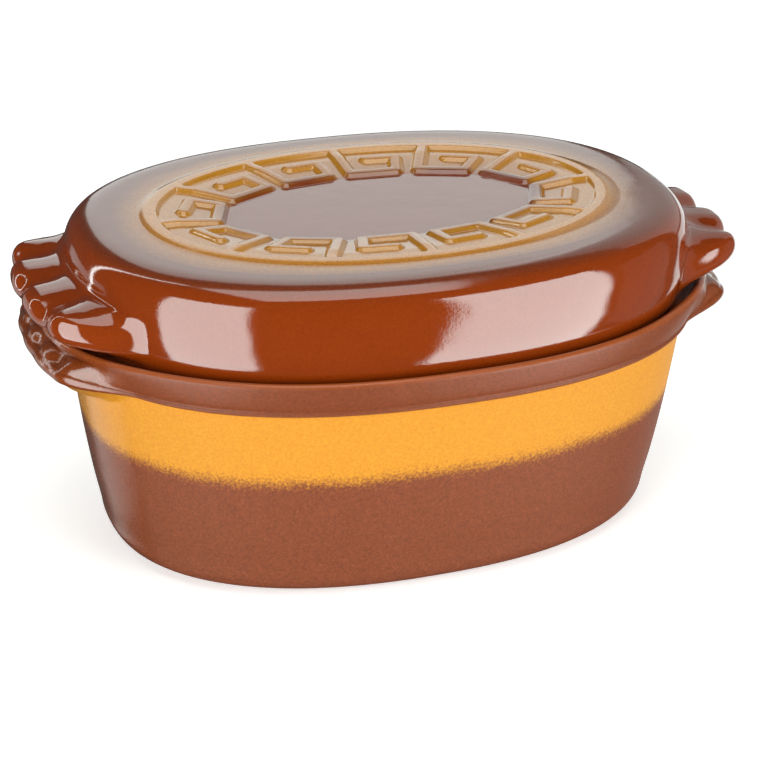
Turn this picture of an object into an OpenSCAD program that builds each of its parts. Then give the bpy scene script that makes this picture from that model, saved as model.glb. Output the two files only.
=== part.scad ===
// Oval stoneware casserole with a lift-off lid.
// The pot and the lid are each one fired piece: the lug handles, the rim, the floor ribs and the
// raised key band are moulded in one with the piece that carries them. The lid rests in a stepped
// rim around the pot and lifts straight up.
// Origin: middle of the foot. X runs along the oval from lug to lug, Z is up.

/* [Oval] */
// half the length of the pot's rim, without the lugs (mm)
rim_half_length = 155; // [110:1:200]
// half the width of the pot's rim (mm)
rim_half_width = 113; // [80:1:150]
// squareness of the oval, where 2 is an ellipse
oval_power = 2.3; // [2:0.05:3]

/* [Pot] */
// height of the pot up to the top of its rim (mm)
rim_height = 116.6; // [80:0.2:160]
// how far the wall leans in from the rim down to the foot corner (mm)
wall_lean = 17.8; // [8:0.2:30]
// outward belly of the wall between rim and foot (mm)
wall_belly = 1.2; // [0:0.1:4]
// height of the rounded corner above the foot (mm)
foot_corner_height = 12; // [4:0.5:25]
// width of the rounded corner beyond the flat foot (mm)
foot_corner_width = 13; // [4:0.5:25]
// thickness of the pot's wall (mm)
wall = 8.5; // [5:0.5:12]
// thickness of the floor (mm)
floor_thickness = 8; // [5:0.5:12]
// height of the thick band below the rim (mm)
flange_height = 16; // [8:0.5:30]
// how far that band stands out beyond the wall (mm)
flange_overhang = 3.5; // [1:0.1:8]
// width of the raised lip around the rim (mm)
lip_width = 4.6; // [3:0.1:8]
// depth of the step inside the lip that carries the lid (mm)
ledge_depth = 5; // [2:0.2:8]

/* [Lid] */
// height of the lid's flat top above the table (mm)
lid_top_height = 157.2; // [130:0.2:190]
// thickness of the lid (mm)
lid_wall = 8.4; // [5:0.2:12]
// outward bulge of the lid's side from its lower edge to its widest point (mm)
lid_bulge = 2.8; // [0:0.1:6]
// width of the soft shoulder between side and top (mm)
shoulder_width = 20; // [8:0.5:40]
// free height between the lid's edge and the ledge (mm)
seat_gap = 0.3; // [0.2:0.05:1]
// free width between the lid's edge and the lip (mm)
lip_clearance = 1.6; // [0.5:0.1:4]

/* [Lugs] */
// how far the lid's lugs reach beyond the rim oval (mm)
lid_lug_reach = 19; // [8:0.5:35]
// half the angle of the oval that a lug of the lid spreads over (degrees)
lug_half_angle = 33; // [20:1:50]
// part of that angle over which a lug runs out into the rim (degrees)
lug_run = 17; // [5:1:30]
// height of the lower edge of the lid's lug at its tip (mm)
lid_lug_low = 125.6; // [118:0.2:140]
// height of the upper edge of the lid's lug at its tip (mm)
lid_lug_edge = 137.2; // [120:0.2:150]
// height at which the lid's lug meets the lid's side (mm)
lid_lug_root = 140.4; // [125:0.2:150]
// distance from one finger scallop of the lid to the next (mm)
scallop_pitch = 28.5; // [12:0.5:40]
// depth of the valleys between the scallops (mm)
scallop_depth = 3.6; // [0:0.1:6]
// how far the pot's lugs reach beyond the rim oval (mm)
pot_lug_reach = 17; // [8:0.5:35]
// how far the pot's lip is pulled outward over its lugs (mm)
lip_pull = 9.5; // [0:0.5:20]
// distance from one flute of the pot's lug to the next (mm)
flute_pitch = 20; // [10:0.5:40]
// depth of the flutes across the pot's lug (mm)
flute_depth = 1.6; // [0:0.1:6]

/* [Key band] */
// half the length of the ring around the key band (mm)
band_half_length = 113.4; // [80:0.2:140]
// half the width of the ring around the key band (mm)
band_half_width = 76.6; // [50:0.2:110]
// distance from the ring's outer edge to the band's inner edge (mm)
band_width = 36.6; // [20:0.2:45]
// number of keys around the band
key_count = 12; // [6:1:20]
// width of the ring around the keys (mm)
ring_width = 7; // [3:0.2:10]
// width of each bar of a key (mm)
bar_width = 6.4; // [3:0.2:10]
// height of the ring above the lid's flat top (mm)
relief = 1.4; // [0.5:0.1:4]
// how deep the sunk ground lies below the tops of the ring and the keys (mm)
ground_depth = 2; // [1:0.1:5]
// how much lower the keys stand at the band's inner edge than at the ring (mm)
band_fall = 2.2; // [0:0.1:4]

/* [Floor ribs] */
// number of ribs across the pot's floor
rib_count = 11; // [3:2:21]
// distance from one rib to the next (mm)
rib_pitch = 17; // [10:0.5:30]
// width of a rib (mm)
rib_width = 5; // [2:0.5:10]
// height of a rib above the floor (mm)
rib_height = 2; // [0.5:0.1:5]

/* [Hidden] */

clay = "#9a5a3c";
glaze = "#a04212";

pot_lug_angle = lug_half_angle - 2;
lug_steps = 40;          // stations across one lug
side_steps = 20;         // stations along one long side between the lugs
pull_half_angle = 54;    // half the angle over which the lip is pulled out
ledge_height = rim_height - ledge_depth;
flange_bottom = rim_height - flange_height;
wall_top = -flange_overhang - 1.2;
lip_crown = 2.6;         // height of the rounded top of the lip
lid_edge_out = -lip_width - lip_clearance - 1.2;
lid_edge_in = lid_edge_out - 3.6;
lid_edge_height = ledge_height + seat_gap;
side_out = lid_edge_out + lid_bulge;
shoulder_height = lid_top_height - 130;
band_power = 2.1;
level_width = 15;        // the tops of ring and keys are level over this width, then fall inward
key_outer = 19;          // from the ring's outer edge to the middle of a key's back bar
key_inner = band_width - bar_width / 2;
key_share = 0.68;        // length of a key along the band, as a share of its pitch
back_share = 0.36;       // the same for its back bar
sink = 4;                // how far the ground of the lid's relief starts below the flat top

function mix(a, b, t) = a + (b - a) * t;
function lerp(p, q, t) = [mix(p[0], q[0], t), mix(p[1], q[1], t)];
function signed_power(v, e) = (v < 0 ? -1 : 1) * pow(abs(v), e);

// point of the rim oval moved outward by o, at the oval angle t
function oval(o, t) = [(rim_half_length + o) * signed_power(cos(t), 2 / oval_power),
                       (rim_half_width + o) * signed_power(sin(t), 2 / oval_power)];

// angle from the nearer end of the oval, where the lugs sit
function from_end(t) = acos(min(1, abs(cos(t))));
function soft_step(u) = u * u * (3 - 2 * u);
// 1 along the middle of a lug that ends at half the angle a, running out to 0 there
function lug(t, a) = soft_step(max(0, min(1, (a - from_end(t)) / lug_run)));
// the same for the stretch of lip that is pulled outward
function pull(t) = pow(cos(90 * min(1, from_end(t) / pull_half_angle)), 3);
// 0 on top of a scallop of the lid's lug, 1 in the valley between two
function valley(t) = pow(0.5 + 0.5 * cos(360 * oval(0, t)[1] / scallop_pitch), 1.6);
// the same for the flutes of the pot's lug
function flute(t) = pow(0.5 - 0.5 * cos(360 * oval(0, t)[1] / flute_pitch), 1.4);

// quarter of an ellipse about c, from angle a to angle b
function arc(c, rx, rz, a, b, n) = [for (i = [0 : n]) let (q = mix(a, b, i / n))
    [c[0] + rx * cos(q), c[1] + rz * sin(q)]];

// angles around the oval: close together on the lugs, wide apart along the sides
function half_turn(start) = concat(
    [for (i = [0 : lug_steps - 1]) start - lug_half_angle + i * 2 * lug_half_angle / lug_steps],
    [for (i = [0 : side_steps - 1])
        start + lug_half_angle + i * (180 - 2 * lug_half_angle) / side_steps]);
turn = concat(half_turn(0), half_turn(180));

// closed solid through a stack of rings of points, all with the same number of points
module stack(rings) {
    m = len(rings[0]);
    sides = [for (i = [0 : len(rings) - 2]) for (j = [0 : m - 1])
        let (a = i * m + j, b = i * m + (j + 1) % m) each [[a, a + m, b + m], [a, b + m, b]]];
    start_cap = [[for (j = [0 : m - 1]) j]];
    end_cap = [[for (j = [m - 1 : -1 : 0]) (len(rings) - 1) * m + j]];
    polyhedron([for (r = rings) each r], concat(sides, start_cap, end_cap), convexity = 8);
}

// closed solid whose section changes around the oval: sections[j] is a list of [offset, height]
module oval_sweep(sections) {
    stack([for (i = [0 : len(sections[0]) - 1]) [for (j = [0 : len(turn) - 1])
        let (p = sections[j][i], q = oval(p[0], turn[j])) [q[0], q[1], p[1]]]]);
}

// ---- pot ----

// outer face of the wall at height z
function wall_at(z) = let (t = (z - foot_corner_height) / (flange_bottom - foot_corner_height))
    mix(-wall_lean, wall_top, t) + wall_belly * sin(180 * pow(min(1, max(0, t)), 0.8));

function pot_section(t) =
    let (g = lug(t, pot_lug_angle), v = flute(t) * flute_depth * g, p = pull(t) * lip_pull,
         root = [wall_at(flange_bottom - 3 - 8.5 * g), flange_bottom - 3 - 8.5 * g],
         thick = mix(1.2, 4.4, g),
         middle = [mix(-1.2, pot_lug_reach, g) - thick, flange_bottom + mix(1.4, 5.4, g)],
         nose = arc(middle, thick, mix(1.2, 3.8, g), -75, 55, 4),
         lip_foot = [p, rim_height - lip_crown],
         bend = mix(1.9, 0.85, g))
    concat(
        arc([-wall_lean - foot_corner_width, foot_corner_height],
            foot_corner_width, foot_corner_height, -90, -12, 5),
        [for (i = [0 : 5]) let (z = mix(foot_corner_height + 1, root[1] - 3, i / 5)) [wall_at(z), z]],
        [for (i = [0 : 3]) let (s = i / 4)
            [mix(root[0], nose[0][0], pow(s, bend)), mix(root[1], nose[0][1], 1 - pow(1 - s, bend))]],
        [for (n = nose) [n[0] - 0.4 * v, n[1] - 0.2 * v]],
        [for (i = [1 : 3]) let (s = i / 4, q = lerp(nose[4], lip_foot, s), w = pow(sin(180 * s), 0.7))
            [q[0] + 0.5 * w - v * (1 - s), q[1] + w * (1.2 * g - 0.8 * v)]],
        arc([p - lip_width / 2, rim_height - lip_crown], lip_width / 2, lip_crown, 0, 180, 6),
        [[p - lip_width - 0.8, ledge_height + 0.9], [p - lip_width - 1.8, ledge_height],
         [wall_top - wall + 0.8, ledge_height], [wall_top - wall - 0.6, ledge_height - 1.4]],
        [for (i = [0 : 4]) let (z = mix(ledge_height - 8, floor_thickness + 14, i / 4))
            [wall_at(min(z, flange_bottom)) - wall, z]],
        arc([wall_at(floor_thickness + 12) - wall - 14, floor_thickness + 12], 14, 12, 0, -90, 4));

module floor_ribs() {
    reach = oval(wall_at(floor_thickness) - wall - 16, 0)[0];
    across = oval(wall_at(floor_thickness) - wall - 16, 90)[1];
    for (i = [0 : rib_count - 1]) {
        x = (i - (rib_count - 1) / 2) * rib_pitch;
        half = across * pow(1 - pow(abs(x) / reach, oval_power), 1 / oval_power);
        hull()
            for (s = [-1, 1])
                translate([x, s * (half - rib_width), floor_thickness - 1])
                    cylinder(d1 = rib_width + 2, d2 = rib_width - 1.5, h = rib_height + 1, $fn = 16);
    }
}

module pot() {
    color(clay)
        union() {
            oval_sweep([for (t = turn) pot_section(t)]);
            floor_ribs();
        }
}

// ---- lid ----

// outer face of the lid's side, without lugs, at height z
function side_at(z) =
    z < lid_top_height - shoulder_height
        ? mix(lid_edge_out, side_out,
              sin(90 * max(0, z - lid_edge_height) / (lid_top_height - shoulder_height - lid_edge_height)))
        : side_out - shoulder_width * (1 - pow(max(0, 1 - pow((z - lid_top_height + shoulder_height)
              / shoulder_height, 3)), 1 / 3));

function lid_section(t) =
    let (g = lug(t, lug_half_angle), v = valley(t) * scallop_depth * g,
         reach = lid_lug_reach - 0.5 * v,
         low = lid_lug_low, edge = lid_lug_edge - v, root = lid_lug_root,
         under = [side_at(lid_edge_height + 3), lid_edge_height + 3],
         // heights of the plain side that the lug's outline grows from
         plain = [for (z = [116.5, 118.5, 121, 123.5, 126, 129, 132, 135, 137.5, 139.5]) [side_at(z), z]],
         top = [for (s = [0, 0.25, 0.55, 0.8, 1])
             [mix(reach - 2.2, side_at(root) + 0.5, s), edge + 1.4 * pow(min(1, 3 * s), 0.5)
                 + (root - edge - 1.4) * pow(s, 2.6)]],
         outline = concat([lerp(under, [reach, low], 0.3), lerp(under, [reach, low], 0.6),
                           [reach - 1.8, low], [reach - 0.1, low + 2.6], [reach, edge - 3.2]], top))
    concat(
        arc([side_out - lid_wall - 15, lid_top_height - lid_wall - 14], 15, 14, 90, 0, 5),
        [for (z = [130, 120, lid_edge_height + 3]) [side_at(z) - lid_wall + 0.6, z]],
        [[lid_edge_in + 0.4, lid_edge_height], [lid_edge_out - 0.9, lid_edge_height],
         [lid_edge_out, lid_edge_height + 0.9], under],
        [for (i = [0 : len(plain) - 1]) lerp(plain[i], outline[i], g)],
        [for (s = [0.42, 0.54, 0.67, 0.79, 0.89, 0.955, 0.99])
            let (z = lid_top_height - shoulder_height * (1 - s)) [side_at(z), z]],
        [[side_out - shoulder_width - 1, lid_top_height]]);

// point of the key band: turned to angle t, d in from the ring's outer edge
function band(d, t) = [(band_half_length - d) * signed_power(cos(t), 2 / band_power),
                       (band_half_width - d) * signed_power(sin(t), 2 / band_power)];

// length along the middle of the band up to each of 360 steps, to space the keys evenly
band_steps = [for (i = [0 : 359]) norm(band(band_width / 2, i + 1) - band(band_width / 2, i))];
band_length = [for (i = 0, s = 0; i <= 360; s = s + (i < 360 ? band_steps[i] : 0), i = i + 1) s];

// angle at which the band has run a share f of its length, with f from 0 to 1
function band_angle(f, lo = 0, hi = 360) =
    hi - lo <= 1
        ? lo + (f * band_length[360] - band_length[lo]) / (band_length[hi] - band_length[lo])
        : let (mid = floor((lo + hi) / 2))
            f * band_length[360] < band_length[mid] ? band_angle(f, lo, mid) : band_angle(f, mid, hi);

// height of the tops of ring and keys, d in from the ring's outer edge
function top_at(d) = lid_top_height + relief
    - band_fall * max(0, d - level_width) / (band_width - level_width);

// bar of a key between two places [distance in, angle] of the band
module bar(p, q) {
    hull()
        for (c = [p, q])
            translate([band(c[0], c[1])[0], band(c[0], c[1])[1], lid_top_height - sink])
                cylinder(d1 = bar_width + 1.4, d2 = bar_width - 1.4,
                         h = top_at(c[0]) - lid_top_height + sink, $fn = 12);
}

// one key: in from the ring, along the inner edge, out again, and back towards its start
module key(i) {
    first = band_angle(i / key_count);
    last = band_angle((i - key_share) / key_count);
    back = band_angle((i - key_share + back_share) / key_count);
    bar([ring_width / 2, first], [key_inner, first]);
    bar([key_inner, first], [key_inner, last]);
    bar([key_inner, last], [key_outer, last]);
    bar([key_outer, last], [key_outer, back]);
}

// ring of points of the band at the height z
function band_ring(d, z) = [for (t = [0 : 4 : 356]) [band(d, t)[0], band(d, t)[1], z]];

// raised ring, filled inside: the sunk ground is cut out of it
module ring() {
    stack([band_ring(0, lid_top_height - sink), band_ring(0, lid_top_height),
           band_ring(1.4, top_at(0)), band_ring(ring_width, top_at(0))]);
}

// the hollow above the sunk ground of the band and the oval in its middle
module ground() {
    stack([band_ring(band_width + 4, top_at(band_width) - ground_depth),
           band_ring(band_width, top_at(band_width) - ground_depth),
           band_ring(level_width, top_at(level_width) - ground_depth),
           band_ring(ring_width + 1, top_at(0) - ground_depth),
           band_ring(ring_width - 0.4, top_at(0) + 1)]);
}

module lid() {
    color(glaze)
        union() {
            difference() {
                union() {
                    oval_sweep([for (t = turn) lid_section(t)]);
                    ring();
                }
                ground();
            }
            for (i = [1 : key_count])
                key(i);
        }
}

pot();
lid();
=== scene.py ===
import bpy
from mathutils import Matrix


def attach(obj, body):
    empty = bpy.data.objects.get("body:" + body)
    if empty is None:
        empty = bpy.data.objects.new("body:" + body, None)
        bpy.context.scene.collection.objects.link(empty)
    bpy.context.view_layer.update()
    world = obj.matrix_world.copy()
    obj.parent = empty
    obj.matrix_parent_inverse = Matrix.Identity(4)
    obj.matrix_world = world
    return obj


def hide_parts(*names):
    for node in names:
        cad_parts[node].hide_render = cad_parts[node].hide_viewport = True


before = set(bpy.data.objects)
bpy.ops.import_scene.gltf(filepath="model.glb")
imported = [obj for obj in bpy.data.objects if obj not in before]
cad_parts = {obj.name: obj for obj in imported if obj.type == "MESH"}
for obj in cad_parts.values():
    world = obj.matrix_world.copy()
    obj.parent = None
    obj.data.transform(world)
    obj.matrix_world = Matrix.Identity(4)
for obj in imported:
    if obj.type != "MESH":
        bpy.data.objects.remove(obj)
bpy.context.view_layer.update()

import math

import bmesh
import bpy
import numpy as np
from mathutils import Matrix, Vector

# Sizes are in mm and the CAD's own, except that the key band's relief is 0.2 mm lower here. The valleys between
# the lid's scallops are also a little narrower, and the pot's underside is hollow inside a standing ring.
# An offset is a distance outwards from the rim oval.

MM = 0.001
PI = math.pi
STATIONS = 960                                  # points around each ring of a mesh

# ---------------------------------------------------------------- sizes of the pot
HALF_L, HALF_W, OVAL = 155.0, 113.0, 2.3        # rim oval: half length, half width, power
RIM_Z, FLANGE_Z = 116.6, 100.6                  # top of the lip, underside of the rim band
FOOT_H, FOOT_W = 12.0, 13.0                     # rounded corner between foot and wall
LEAN, BELLY = 17.8, 1.2                         # how far the wall leans in, and how far it swells
WALL_TOP, WALL, FLOOR = -4.7, 8.5, 8.0          # offset of the wall's top, thickness of wall and floor
LIP, CROWN, LEDGE_Z = 4.6, 2.6, 111.6           # width and rounding of the lip, height of the lid's seat
POT_LUG_REACH, POT_LUG_ANGLE = 17.0, 31.0       # lug: reach past the rim oval, half angle
LIP_PULL, PULL_ANGLE = 9.5, 54.0                # how far the lip is pulled out over the lugs, half angle
FLUTE, FLUTE_DEPTH = 20.0, 1.6                  # flutes across the lug
RIB_PITCH, RIBS_A_SIDE, RIB_H = 17.0, 5, 2.0    # ribs on the floor, to each side of the middle one

# ---------------------------------------------------------------- sizes of the lid
TOP_Z, LID_WALL = 157.2, 8.4                    # height of the flat top, thickness
SHOULDER, SHOULDER_Z = 20.0, 27.2               # shoulder: width, height
EDGE_OUT, EDGE_IN, EDGE_Z = -7.4, -11.0, 111.9  # lower edge: outer and inner offset, height
SIDE = -4.6                                     # offset of the side at its widest
LUG_REACH, LUG_ANGLE, LUG_RUN = 19.0, 33.0, 17.0    # lug: reach, half angle, run-out in degrees
LUG_LOW, LUG_EDGE, LUG_ROOT = 125.6, 137.2, 140.4   # heights: underside, outer edge, root at the side
SCALLOP, SCALLOP_DEPTH = 28.5, 3.6              # finger scallops along the lug
BAND_L, BAND_W, BAND_P, BAND = 113.4, 76.6, 2.1, 36.6   # key band: half sizes, power, width
KEYS, KEY_SHARE, BACK_SHARE = 12, 0.68, 0.36    # keys, and the shares of their pitch along the band
RING, BAR, KEY_OUTER = 7.0, 6.4, 19.0           # widths of ring and bars, distance in to a back bar
RELIEF, GROUND, FALL, LEVEL = 1.2, 2.0, 2.2, 15.0   # relief over the top, depth, fall inwards, level part
RING_START = -2.0                               # distance at which the top's rings follow the band

OUTER, BARE, INNER = 0, 1, 2                    # material numbers of each piece

# ---------------------------------------------------------------- curves around the oval


def mix(a, b, t):
    return a + (b - a) * t


def smooth(a, b, v):
    u = np.clip((v - a) / (b - a), 0, 1)
    return u * u * (3 - 2 * u)


def signed_power(v, e):
    return np.sign(v) * np.abs(v) ** e


def oval(offset, t):
    """Points of the rim oval moved outwards by an offset."""
    return np.stack([(HALF_L + offset) * signed_power(np.cos(t), 2 / OVAL),
                     (HALF_W + offset) * signed_power(np.sin(t), 2 / OVAL)], -1)


def band(d, t):
    """Points of the key band at a distance in from the ring's outer edge."""
    return np.stack([(BAND_L - d) * signed_power(np.cos(t), 2 / BAND_P),
                     (BAND_W - d) * signed_power(np.sin(t), 2 / BAND_P)], -1)


def length_to(points):
    """Length along a line of points up to each of them."""
    return np.concatenate([[0], np.cumsum(np.linalg.norm(np.diff(points, axis=0), axis=1))])


def stations(count):
    """Oval angles at equal steps along the middle of the shoulder."""
    t = np.linspace(0, 2 * PI, 24001)
    s = length_to(oval(-14.0, t))
    return np.interp(np.arange(count) * s[-1] / count, s, t)


T = stations(STATIONS)
from_end = np.degrees(np.arccos(np.minimum(1, np.abs(np.cos(T)))))
across = oval(0, T)[:, 1]
lid_lug = smooth(0, LUG_RUN, LUG_ANGLE - from_end)          # 1 over the lug, 0 beside it
pot_lug = smooth(0, LUG_RUN, POT_LUG_ANGLE - from_end)
pull = np.cos(PI / 2 * np.minimum(1, from_end / PULL_ANGLE)) ** 3
valley = ((1 + np.cos(2 * PI * across / SCALLOP)) / 2) ** 2.0
flute = ((1 - np.cos(2 * PI * across / FLUTE)) / 2) ** 1.4

# ---------------------------------------------------------------- sections and meshes


class Section:
    """Rows of (offset, height), each a number or an array over the stations, along a piece's section."""

    def __init__(self):
        self.rows, self.steps, self.marks = [], [], {}

    def add(self, offset, height, steps=3):
        """Adds a row, with the number of steps from it to the next one."""
        self.rows.append((offset, height))
        self.steps.append(steps)

    def add_arc(self, center, radius, height, start, end, parts):
        for q in np.radians(np.linspace(start, end, parts + 1)):
            self.add(center[0] + radius * np.cos(q), center[1] + height * np.sin(q), 2)

    def mark(self, name, back=0):
        self.marks[name] = sum(self.steps) - back

    def points(self):
        """Catmull-Rom curve through the rows, laid around the oval."""
        row_shape = (STATIONS,)
        p = np.stack([np.stack([np.broadcast_to(o, row_shape), np.broadcast_to(z, row_shape)], -1)
                      for o, z in self.rows])
        last = len(p) - 2
        out = []
        for i in range(len(p) - 1):
            a, b = p[i], p[i + 1]
            before, after = p[max(i - 1, 0)], p[min(i + 2, len(p) - 1)]
            own, prior, later = [np.linalg.norm(v, axis=-1, keepdims=True) + 1e-6
                                 for v in (b - a, a - before, after - b)]
            start = end = b - a
            if i > 0:
                start = own * ((a - before) / prior * own + (b - a) / own * prior) / (prior + own)
            if i < last:
                end = own * ((b - a) / own * later + (after - b) / later * own) / (own + later)
            for k in range(self.steps[i]):
                u = k / self.steps[i]
                out.append((2 * u ** 3 - 3 * u ** 2 + 1) * a + (u ** 3 - 2 * u ** 2 + u) * start
                           + (-2 * u ** 3 + 3 * u ** 2) * b + (u ** 3 - u ** 2) * end)
        section = np.stack(out + [p[-1]])
        flat = np.stack([oval(row[:, 0], T) for row in section])
        return np.concatenate([flat, section[:, :, 1:]], -1)


def build(name, rings, kinds, layers):
    """Closed mesh through a stack of rings of points. kinds holds a material number for each row of faces,
    layers the values of each named point layer."""
    i, j = np.meshgrid(np.arange(len(rings) - 1), np.arange(STATIONS), indexing="ij")
    n = (j + 1) % STATIONS
    quads = np.stack([i * STATIONS + j, i * STATIONS + n, (i + 1) * STATIONS + n, (i + 1) * STATIONS + j], -1)
    count = len(kinds) * STATIONS
    mesh = bpy.data.meshes.new(name)
    mesh.vertices.add(len(rings) * STATIONS)
    mesh.vertices.foreach_set("co", (rings * MM).ravel())
    mesh.loops.add(quads.size)
    mesh.loops.foreach_set("vertex_index", quads.ravel())
    mesh.polygons.add(count)
    mesh.polygons.foreach_set("loop_start", np.arange(count) * 4)
    mesh.polygons.foreach_set("loop_total", np.full(count, 4))
    mesh.polygons.foreach_set("material_index", np.repeat(kinds, STATIONS))
    mesh.polygons.foreach_set("use_smooth", np.ones(count, bool))
    for key, values in layers.items():
        mesh.attributes.new(key, "FLOAT", "POINT").data.foreach_set("value", values.ravel())
    mesh.update()
    mesh.validate()
    bm = bmesh.new()
    bm.from_mesh(mesh)
    bmesh.ops.remove_doubles(bm, verts=bm.verts, dist=0.04 * MM)
    bmesh.ops.recalc_face_normals(bm, faces=bm.faces)
    bm.to_mesh(mesh)
    bm.free()
    obj = bpy.data.objects.new(name, mesh)
    bpy.context.scene.collection.objects.link(obj)
    return obj


# ---------------------------------------------------------------- pot


def wall_at(z):
    """Offset of the wall's outer face."""
    t = (z - FOOT_H) / (FLANGE_Z - FOOT_H)
    return mix(-LEAN, WALL_TOP, t) + BELLY * np.sin(PI * np.clip(t, 0, 1) ** 0.8)


def add_rim_band(line, root_z):
    """The rim band and, where the lugs are, the lug: from its root at the wall up to the foot of the lip."""
    g, v = pot_lug, flute * FLUTE_DEPTH * pot_lug
    root = wall_at(root_z)
    thick, tall = mix(1.2, 4.4, g), mix(1.2, 3.8, g)
    mid = mix(-1.2, POT_LUG_REACH, g) - thick, FLANGE_Z + mix(1.4, 5.4, g)
    low = math.radians(-75)
    nose_foot = mid[0] + thick * math.cos(low), mid[1] + tall * math.sin(low)
    bend = mix(1.9, 0.85, g)
    for s in (0, 0.25, 0.5, 0.75):
        line.add(mix(root, nose_foot[0], s ** bend), mix(root_z, nose_foot[1], 1 - (1 - s) ** bend))
    for q in np.radians(np.linspace(-75, 55, 6)):
        nose = mid[0] + thick * np.cos(q) - 0.4 * v, mid[1] + tall * np.sin(q) - 0.2 * v
        line.add(*nose, 2)
    lip_foot = pull * LIP_PULL, RIM_Z - CROWN
    for i in range(1, 6):
        s = i / 6
        swell = math.sin(PI * s) ** 0.7
        line.add(mix(nose[0], lip_foot[0], s) + 0.5 * swell - v * (1 - s),
                 mix(nose[1], lip_foot[1], s) + swell * (1.2 * g - 0.8 * v), 2)


def pot_section():
    """From the middle of the underside over the lip to the middle of the floor."""
    line = Section()
    foot = -LEAN - FOOT_W
    # underside: a hollow middle inside a standing ring
    for offset, z, steps in ((-HALF_W, 1.6, 14), (foot - 14, 1.6, 3), (foot - 11, 1.3, 3),
                             (foot - 8.6, 0.2, 2), (foot - 7.6, 0.0, 2)):
        line.add(offset, z, steps)
    line.mark("bare_end")
    line.add(foot - 1.5, 0.0, 2)
    line.add_arc((foot, FOOT_H), FOOT_W, FOOT_H, -90, -12, 7)
    root_z = FLANGE_Z - 3 - 8.5 * pot_lug
    for i in range(6):
        z = mix(FOOT_H + 1, root_z - 3, i / 5)
        line.add(wall_at(z), z, 5)
    add_rim_band(line, root_z)
    lip = pull * LIP_PULL
    line.add_arc((lip - LIP / 2, RIM_Z - CROWN), LIP / 2, CROWN, 0, 180, 8)
    line.mark("gloss_end", back=8)
    line.add(lip - LIP - 0.8, LEDGE_Z + 0.9, 2)
    line.add(lip - LIP - 1.8, LEDGE_Z, 2)
    line.mark("outer_end")
    inner = WALL_TOP - WALL
    line.add(inner + 0.8, LEDGE_Z, 2)
    line.add(inner - 0.6, LEDGE_Z - 1.4, 3)
    for i in range(5):
        z = mix(LEDGE_Z - 8, FLOOR + 14, i / 4)
        line.add(wall_at(min(z, FLANGE_Z)) - WALL, z, 4)
    line.add_arc((wall_at(FLOOR + 12) - WALL - 14, FLOOR + 12), 14, 12, 0, -90, 6)
    line.steps[-1] = 72                          # fine steps across the floor, for the ribs
    line.add(-HALF_W, FLOOR, 1)
    return line


def floor_height(x, y, z, inside):
    """Height z with the ribs across the floor, rounded and running out before the wall, and between them the
    floor's slight unevenness."""
    margin = wall_at(FLOOR) - WALL - 16
    k = np.clip(np.round(x / RIB_PITCH), -RIBS_A_SIDE, RIBS_A_SIDE) * RIB_PITCH
    half = (HALF_W + margin) * np.maximum(0, 1 - (np.abs(k) / (HALF_L + margin)) ** OVAL) ** (1 / OVAL) - 5.0
    off = np.hypot(np.abs(x - k), np.maximum(0, np.abs(y) - half))
    z = z + inside * RIB_H * (1 - smooth(0.9, 3.4, off)) * (z < FLOOR + 6)
    return z + inside * 0.25 * (z < FLOOR + 1) * np.sin(x * 0.11 + 1.0) * np.sin(y * 0.09)


def make_pot():
    line = pot_section()
    pts = line.points()
    outer_end = line.marks["outer_end"]
    inside = (np.arange(len(pts)) > outer_end)[:, None]
    pts[..., 2] = floor_height(pts[..., 0], pts[..., 1], pts[..., 2], inside)
    kinds = np.full(len(pts) - 1, OUTER)
    kinds[:line.marks["bare_end"]] = BARE
    kinds[outer_end + 1:] = INNER
    gloss = np.broadcast_to(smooth(0.0, 0.5, pot_lug), pts.shape[:2]).copy()
    gloss[line.marks["gloss_end"]:] = 0
    return build("pot_body", pts, kinds, {"lug": gloss})


# ---------------------------------------------------------------- lid


def side_at(z):
    """Offset of the lid's side and shoulder."""
    z = np.asarray(z, float)
    widest = TOP_Z - SHOULDER_Z
    low = mix(EDGE_OUT, SIDE, np.sin(PI / 2 * np.clip((z - EDGE_Z) / (widest - EDGE_Z), 0, 1)))
    u = np.clip((z - TOP_Z + SHOULDER_Z) / SHOULDER_Z, 0, 1)
    high = SIDE - SHOULDER * (1 - np.maximum(0, 1 - u ** 3) ** (1 / 3))
    return np.where(z < widest, low, high)


def add_lid_side(line):
    """The side up to the shoulder, blended into the lug's own outline where the lugs are."""
    g, v = lid_lug, valley * SCALLOP_DEPTH * lid_lug
    start_z = EDGE_Z + 3
    start = side_at(start_z)
    reach, edge = LUG_REACH - 0.5 * v, LUG_EDGE - v
    outline = [(mix(start, reach, s), mix(start_z, LUG_LOW, s)) for s in (0.3, 0.6)]
    outline += [(reach - 1.8, LUG_LOW), (reach - 0.1, LUG_LOW + 2.6), (reach, edge - 3.2)]
    for s in (0.0, 0.25, 0.55, 0.8, 1.0):
        outline.append((mix(reach - 2.2, side_at(LUG_ROOT) + 0.5, s),
                        edge + 1.4 * min(1, 3 * s) ** 0.5 + (LUG_ROOT - edge - 1.4) * s ** 2.6))
    line.add(start, start_z)
    for z, (offset, height) in zip((116.5, 118.5, 121, 123.5, 126, 129, 132, 135, 137.5, 139.5), outline):
        line.add(mix(side_at(z), offset, g), mix(z, height, g))


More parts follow.
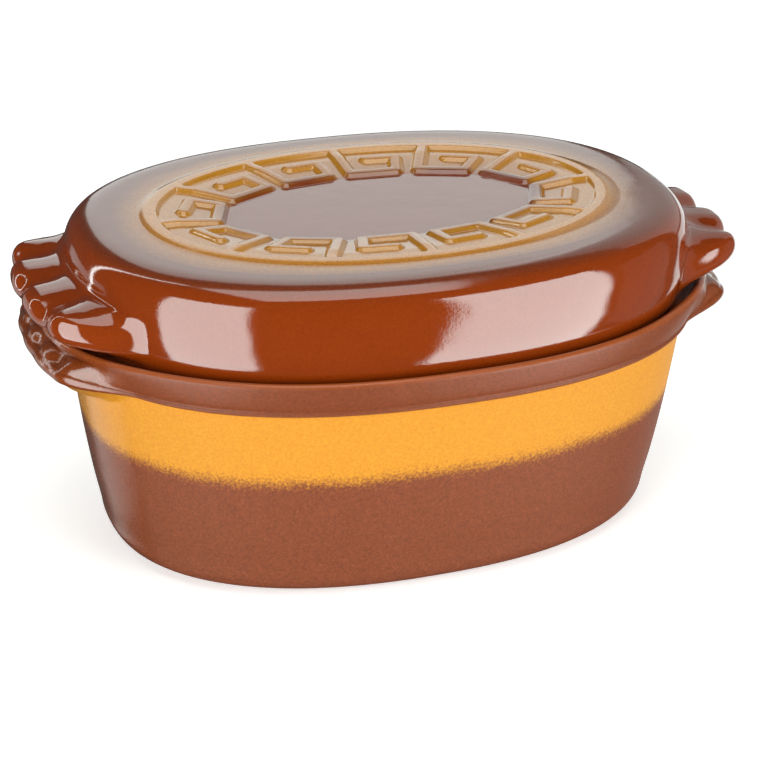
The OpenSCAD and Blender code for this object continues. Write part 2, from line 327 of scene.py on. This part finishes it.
def lid_section():
    """From the middle of the hollow underside round the lower edge to the top of the shoulder."""
    line = Section()
    line.add(-HALF_W, TOP_Z - LID_WALL, 26)
    line.add_arc((SIDE - LID_WALL - 15, TOP_Z - LID_WALL - 14), 15, 14, 90, 0, 6)
    for z in (130, 120, EDGE_Z + 3):
        line.add(float(side_at(z)) - LID_WALL + 0.6, z, 4)
    line.mark("inner_end")
    line.add(EDGE_IN + 0.4, EDGE_Z, 2)
    line.add(EDGE_OUT - 0.9, EDGE_Z, 2)
    line.mark("bare_end")
    line.add(EDGE_OUT, EDGE_Z + 0.9, 2)
    add_lid_side(line)
    for s in (0.42, 0.54, 0.67, 0.79, 0.89, 0.955, 0.99):
        z = TOP_Z - SHOULDER_Z * (1 - s)
        line.add(float(side_at(z)), z)
    line.add(SIDE - SHOULDER - 1, TOP_Z, 1)
    return line


def band_angle(share):
    """Oval angle at which the middle of the band has run a share of its length."""
    t = np.linspace(-2 * PI, 2 * PI, 48001)
    s = length_to(band(BAND / 2, t))
    return np.interp(share, (s - np.interp(0, t, s)) / (s[-1] / 2), t)


def key_segments():
    """Middle lines of the bars: a key runs in from the ring, along the inner edge, out, and back."""
    segments = []
    for i in range(1, KEYS + 1):
        first, last = band_angle(i / KEYS), band_angle((i - KEY_SHARE) / KEYS)
        back = band_angle((i - KEY_SHARE + BACK_SHARE) / KEYS)
        line = [band(RING / 2, first), band(BAND - BAR / 2, first), band(BAND - BAR / 2, last),
                band(KEY_OUTER, last), band(KEY_OUTER, back)]
        segments += zip(line[:-1], line[1:])
    return segments


def distance(p, segments):
    """Shortest distance from each point to the segments."""
    best = np.full(p.shape[:-1], np.inf)
    for a, b in segments:
        ab = b - a
        u = np.clip(((p - a) @ ab) / (ab @ ab), 0, 1)
        best = np.minimum(best, np.linalg.norm(p - a - u[..., None] * ab, axis=-1))
    return best


def top_rings():
    """Rings from the top of the shoulder across the flat rim, then over the band to the middle, with each
    ring's distance in from the key ring's outer edge."""
    rim, start = oval(SIDE - SHOULDER - 1, T), band(RING_START, T)
    shares = np.linspace(0, 1, 10)[1:-1]
    steps = np.concatenate([np.arange(RING_START, 39.0, 0.55), np.arange(39.5, BAND_W - 1, 2.2), [BAND_W]])
    rings = [mix(rim, start, s) for s in shares] + [band(d, T) for d in steps]
    depth = np.concatenate([np.linspace(-18, RING_START, 10)[1:-1], steps])
    return np.stack(rings), depth[:, None] * np.ones(STATIONS)


def make_lid():
    line = lid_section()
    below = line.points()
    top, depth = top_rings()
    away = distance(top, key_segments())
    bar = smooth(-1.25, 1.25, BAR / 2 - away)
    raised = np.maximum(bar * (depth > 3), smooth(-1.25, 1.25, RING - depth))
    crest = TOP_Z + RELIEF - FALL * np.clip((depth - LEVEL) / (BAND - LEVEL), 0, 1)
    ground = crest - GROUND
    z = ground + (crest - ground) * raised
    z = np.where(depth < 3, TOP_Z + RELIEF * smooth(-3.4, 2.2, depth), z)
    z = z - 0.3 * smooth(0.0, 3.0, away) * bar * (depth > RING)
    pts = np.concatenate([below, np.concatenate([top, z[..., None]], -1)])
    outside_band = np.full(below.shape[:2], -40.0)
    kinds = np.full(len(pts) - 1, OUTER)
    kinds[:line.marks["bare_end"]] = BARE
    kinds[:line.marks["inner_end"]] = INNER
    return build("lid_body", pts, kinds, {
        "band": np.concatenate([outside_band, depth]),
        "raised": np.concatenate([0 * outside_band, np.where(depth < 3, 1.0, raised)])})


# ---------------------------------------------------------------- materials


class Tree:
    """A Principled material and short names for the nodes it is made of."""

    def __init__(self, name):
        self.mat = bpy.data.materials.new(name)
        self.mat.use_nodes = True
        self.nodes, self.links = self.mat.node_tree.nodes, self.mat.node_tree.links
        self.bsdf = self.nodes["Principled BSDF"]
        self.coord = self.new("ShaderNodeTexCoord").outputs["Object"]

    def put(self, socket, value):
        if isinstance(value, bpy.types.NodeSocket):
            self.links.new(value, socket)
        else:
            socket.default_value = value

    def new(self, kind, inputs=(), **props):
        node = self.nodes.new(kind)
        for key, value in props.items():
            setattr(node, key, value)
        for key, value in dict(inputs).items():
            self.put(node.inputs[key], value)
        return node

    def noise(self, scale, detail=2.0, rough=0.55):
        return self.new("ShaderNodeTexNoise", {"Vector": self.coord, "Scale": scale, "Detail": detail,
                                               "Roughness": rough}).outputs[0]

    def math(self, op, a, b=0.0, clamp=False):
        return self.new("ShaderNodeMath", {0: a, 1: b}, operation=op, use_clamp=clamp).outputs[0]

    def jitter(self, v, noise, width):
        """v moved up and down by a noise over the given width."""
        return self.math("ADD", v, self.math("MULTIPLY", self.math("SUBTRACT", noise, 0.5), width))

    def ramp(self, v, a, b, low=0.0, high=1.0):
        return self.new("ShaderNodeMapRange", {"Value": v, "From Min": a, "From Max": b, "To Min": low,
                                               "To Max": high}, interpolation_type="SMOOTHSTEP").outputs[0]

    def mix(self, share, a, b):
        return self.new("ShaderNodeMix", {0: share, 6: a, 7: b}, data_type="RGBA").outputs[2]

    def tint(self, color, where, most, other):
        """The color mixed with another one where a mask says, at most by the given share."""
        return self.mix(self.math("MULTIPLY", where, most), color, other)

    def value(self, name):
        return self.new("ShaderNodeAttribute", attribute_name=name).outputs["Fac"]

    def axis(self, k):
        return self.new("ShaderNodeSeparateXYZ", {0: self.coord}).outputs[k]

    def bump(self, height, strength, depth, normal=None):
        inputs = {"Height": height, "Strength": strength, "Distance": depth}
        if normal is not None:
            inputs["Normal"] = normal
        return self.new("ShaderNodeBump", inputs).outputs[0]

    def finish(self, color, rough, normal=None, ior=1.5, coat=0.0, coat_rough=0.03):
        sockets = {"Base Color": color, "Roughness": rough, "IOR": ior, "Coat Weight": coat,
                   "Coat Roughness": coat_rough}
        if normal is not None:
            sockets.update({"Normal": normal, "Coat Normal": normal})
        for key, value in sockets.items():
            self.put(self.bsdf.inputs[key], value)
        return self.mat


def rgb(r, g, b):
    """sRGB 0-255 to linear."""
    return tuple(((c / 255 + 0.055) / 1.055) ** 2.4 if c > 10 else c / 3294.6 for c in (r, g, b)) + (1.0,)


def pot_glaze():
    t = Tree("pot_outer_glaze")
    z, on_lug = t.axis(2), t.value("lug")
    cloud, grain, fine = t.noise(14), t.noise(800, 4, 0.6), t.noise(2400, 2, 0.7)
    # sprayed yellow band: a soft speckled lower edge, and a cleaner upper one under the rim band
    spray = t.jitter(t.jitter(t.jitter(z, cloud, 0.006), grain, 0.012), fine, 0.012)
    low = t.ramp(spray, 0.0610, 0.0695)
    high = t.ramp(t.jitter(z, grain, 0.0016), 0.1000, 0.1016, 1.0, 0.0)
    yellow = t.mix(t.ramp(grain, 0.35, 0.68), rgb(201, 127, 16), rgb(211, 141, 25))
    yellow = t.tint(yellow, t.ramp(t.noise(1100, 2, 0.6), 0.62, 0.70), 0.2, rgb(170, 88, 20))
    brown = t.mix(t.ramp(grain, 0.3, 0.7), rgb(112, 52, 24), rgb(134, 64, 31))
    brown = t.tint(brown, t.ramp(t.noise(900, 2, 0.6), 0.63, 0.72), 0.28, rgb(190, 112, 66))
    color = t.mix(t.math("MULTIPLY", low, high), brown, yellow)
    # rim band: a little smoother than the wall, and lighter and glossier on top of the lip
    rim = t.ramp(z, 0.1005, 0.1035)
    thin = t.ramp(z, 0.1146, 0.1164)
    rim_color = t.mix(t.ramp(grain, 0.3, 0.7), rgb(110, 48, 16), rgb(128, 58, 21))
    color = t.mix(rim, color, t.tint(rim_color, thin, 0.5, rgb(176, 90, 44)))
    rough = t.math("ADD", t.ramp(rim, 0.0, 1.0, 0.58, 0.44), t.ramp(fine, 0.2, 0.8, -0.05, 0.07))
    rough = t.math("SUBTRACT", rough, t.math("MULTIPLY", thin, 0.22))
    rough = t.math("SUBTRACT", rough, t.math("MULTIPLY", on_lug, 0.3), clamp=True)
    normal = t.bump(t.noise(60), 0.25, 0.0012, t.bump(grain, 0.16, 0.0006))
    return t.finish(color, rough, normal, ior=1.45, coat=t.math("MULTIPLY", on_lug, 0.7), coat_rough=0.04)


def bare_clay():
    t = Tree("bare_clay")
    grain = t.noise(700, 5, 0.7)
    color = t.mix(t.ramp(grain, 0.3, 0.7), rgb(150, 74, 44), rgb(186, 104, 66))
    color = t.tint(color, t.ramp(t.noise(1600), 0.62, 0.7), 0.5, rgb(96, 46, 30))
    return t.finish(color, t.ramp(grain, 0.2, 0.8, 0.7, 0.9), t.bump(grain, 0.5, 0.0005))


def inside_glaze(name):
    t = Tree(name)
    cloud, grain = t.noise(18, 3), t.noise(500, 4, 0.65)
    color = t.mix(t.ramp(cloud, 0.35, 0.65), rgb(220, 116, 74), rgb(232, 130, 86))
    color = t.tint(color, t.ramp(grain, 0.5, 0.75), 0.3, rgb(192, 90, 56))
    normal = t.bump(t.noise(70), 0.25, 0.0012, t.bump(grain, 0.12, 0.0005))
    return t.finish(color, t.ramp(grain, 0.3, 0.7, 0.24, 0.36), normal, coat=0.4, coat_rough=0.1)


def lid_glaze():
    t = Tree("lid_outer_glaze")
    z, d, raised = t.axis(2), t.value("band"), t.value("raised")
    cloud, grain, fine = t.noise(16), t.noise(900, 4, 0.6), t.noise(2400, 2, 0.7)
    side = t.mix(t.ramp(grain, 0.25, 0.75), rgb(118, 42, 5), rgb(128, 49, 8))
    side = t.tint(side, t.ramp(t.noise(1300, 2, 0.6), 0.66, 0.76), 0.14, rgb(168, 78, 22))
    top = t.mix(t.ramp(grain, 0.3, 0.7), rgb(98, 39, 15), rgb(116, 49, 19))
    high = t.ramp(z, 0.1528, 0.1568)
    # ochre spray over the band, fading outwards, wider along the lid's long sides
    blur = t.jitter(t.jitter(t.jitter(d, cloud, 12.0), grain, 4.0), fine, 3.0)
    along = t.ramp(t.math("ABSOLUTE", t.axis(1)), 0.02, 0.085, 0.0, 5.0)
    halo = t.ramp(t.math("ADD", blur, along), -18.0, 1.5)
    inner = t.ramp(blur, 30.0, 38.5, 1.0, 0.0)
    # golden on the slopes of the relief, browner on its flat parts and at the ring's outer edge
    slope = t.math("MULTIPLY", t.math("MULTIPLY", raised, t.math("SUBTRACT", 1.0, raised)), 4.0, clamp=True)
    flat = t.math("SUBTRACT", t.ramp(d, 4.0, 30.0, 0.15, 0.5), t.math("MULTIPLY", slope, 0.5), clamp=True)
    ochre = t.mix(t.ramp(grain, 0.3, 0.7), rgb(182, 116, 38), rgb(208, 142, 54))
    ochre = t.tint(ochre, slope, 0.6, rgb(164, 112, 20))
    ochre = t.mix(flat, ochre, rgb(128, 70, 30))
    ochre = t.mix(t.ramp(d, -3.0, 2.0, 0.35, 0.0), ochre, rgb(120, 62, 24))
    color = t.mix(t.math("MULTIPLY", halo, inner), t.mix(high, side, top), ochre)
    rough = t.math("ADD", t.ramp(fine, 0.2, 0.8, 0.05, 0.10), t.math("MULTIPLY", high, 0.14))
    normal = t.bump(t.noise(45), 0.12, 0.0012, t.bump(grain, 0.05, 0.0004))
    return t.finish(color, rough, normal, coat=0.7)


# ---------------------------------------------------------------- pieces


def dress(obj, body, node, mats):
    for mat in mats:
        obj.data.materials.append(mat)
    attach(obj, body)
    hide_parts(node)


dress(make_pot(), "pot", "pot", [pot_glaze(), bare_clay(), inside_glaze("pot_inner_glaze")])
dress(make_lid(), "lid", "lid", [lid_glaze(), bare_clay(), inside_glaze("lid_inner_glaze")])

# ---------------------------------------------------------------- camera


def direction(az, el):
    """From the object towards azimuth az (0 towards the front, -Y) and elevation el, in degrees."""
    az, el = math.radians(az), math.radians(el)
    return Vector((math.sin(az) * math.cos(el), -math.cos(az) * math.cos(el), math.sin(el)))


def add_camera(az, el, roll, dist, lens, right_shift, height):
    """Camera turned by roll, at a distance in metres from a point of the given shift and height."""
    back = direction(az, el)
    right = direction(az + 90, 0)
    up = back.cross(right)
    r = math.radians(roll)
    turned = right * math.cos(r) + up * math.sin(r), up * math.cos(r) - right * math.sin(r)
    place = Matrix((*turned, back)).transposed().to_4x4()
    place.translation = right * right_shift + Vector((0, 0, height)) + back * dist
    camera = bpy.data.objects.new("camera", bpy.data.cameras.new("camera"))
    camera.data.lens, camera.data.sensor_width = lens, 36
    camera.matrix_world = place
    bpy.context.scene.collection.objects.link(camera)
    bpy.context.scene.camera = camera


add_camera(-20.353, 25.377, 1.0943, 1.0353, 98.44, 0.003486, 0.060615)
bpy.context.scene.view_settings.view_transform = "Standard"

# ---------------------------------------------------------------- floor and light

AIM = Vector((0, 0, 0.1))                       # the panels face this point, in metres
FLOOR_HALF, FLOOR_DROP = 40, 0.0002             # half side, and how far below the foot, in metres

# name, azimuth, elevation, distance, width and height in metres, power in watts
PANELS = [
    ("left_box", -55, -4, 1.2, 0.88, 1.86, 29),         # seen as the left patch on the lid's side
    ("right_box", 38.5, -4, 1.2, 0.86, 1.86, 29),       # seen as the right patch
    ("side_box", 80, -6, 1.6, 0.9, 1.5, 0.6),
    ("left_wall", -134, -20, 1.4, 1.0, 1.0, 1.5),
    ("left_strip", -128, 28, 1.3, 0.07, 2.0, 3),
    ("right_wall", 126, -20, 1.4, 0.9, 1.0, 3),
    ("back_box", 165.5, 27, 1.9, 1.05, 1.6, 6.3),       # the sheen on the lid's top
    ("back_side", 127, 24, 1.9, 1.4, 1.5, 3.2),         # the same, towards the right end
    ("top_box", 0, 80, 1.6, 1.2, 1.2, 12),
]


def softbox(name, az, el, dist, width, height, power):
    light = bpy.data.lights.new(name, "AREA")
    light.shape = "RECTANGLE"
    light.size, light.size_y = width, height
    light.energy = power
    light.color = (0.93, 1.0, 0.98)
    obj = bpy.data.objects.new(name, light)
    obj.location = AIM + direction(az, el) * dist
    obj.rotation_mode = "QUATERNION"
    obj.rotation_quaternion = (AIM - obj.location).to_track_quat("-Z", "Y")
    bpy.context.scene.collection.objects.link(obj)


def add_floor():
    """Pale floor, which the glazes don't mirror."""
    mesh = bpy.data.meshes.new("floor")
    corners = [(x * FLOOR_HALF, y * FLOOR_HALF, 0) for x, y in ((-1, -1), (1, -1), (1, 1), (-1, 1))]
    mesh.from_pydata(corners, [], [(0, 1, 2, 3)])
    floor = bpy.data.objects.new("floor", mesh)
    floor.location.z = -FLOOR_DROP
    bpy.context.scene.collection.objects.link(floor)
    pale = Tree("pale_floor")
    pale.bsdf.inputs["Emission Color"].default_value = (1, 1, 1, 1)
    pale.bsdf.inputs["Emission Strength"].default_value = 0.45
    mesh.materials.append(pale.finish((0.9, 0.9, 0.9, 1), 0.9))
    floor.visible_glossy = False


add_floor()
world = bpy.data.worlds.new("studio")
bpy.context.scene.world = world
world.use_nodes = True
world.node_tree.nodes["Background"].inputs[0].default_value = (1, 1, 1, 1)
world.node_tree.nodes["Background"].inputs[1].default_value = 0.05
for panel in PANELS:
    softbox(*panel)
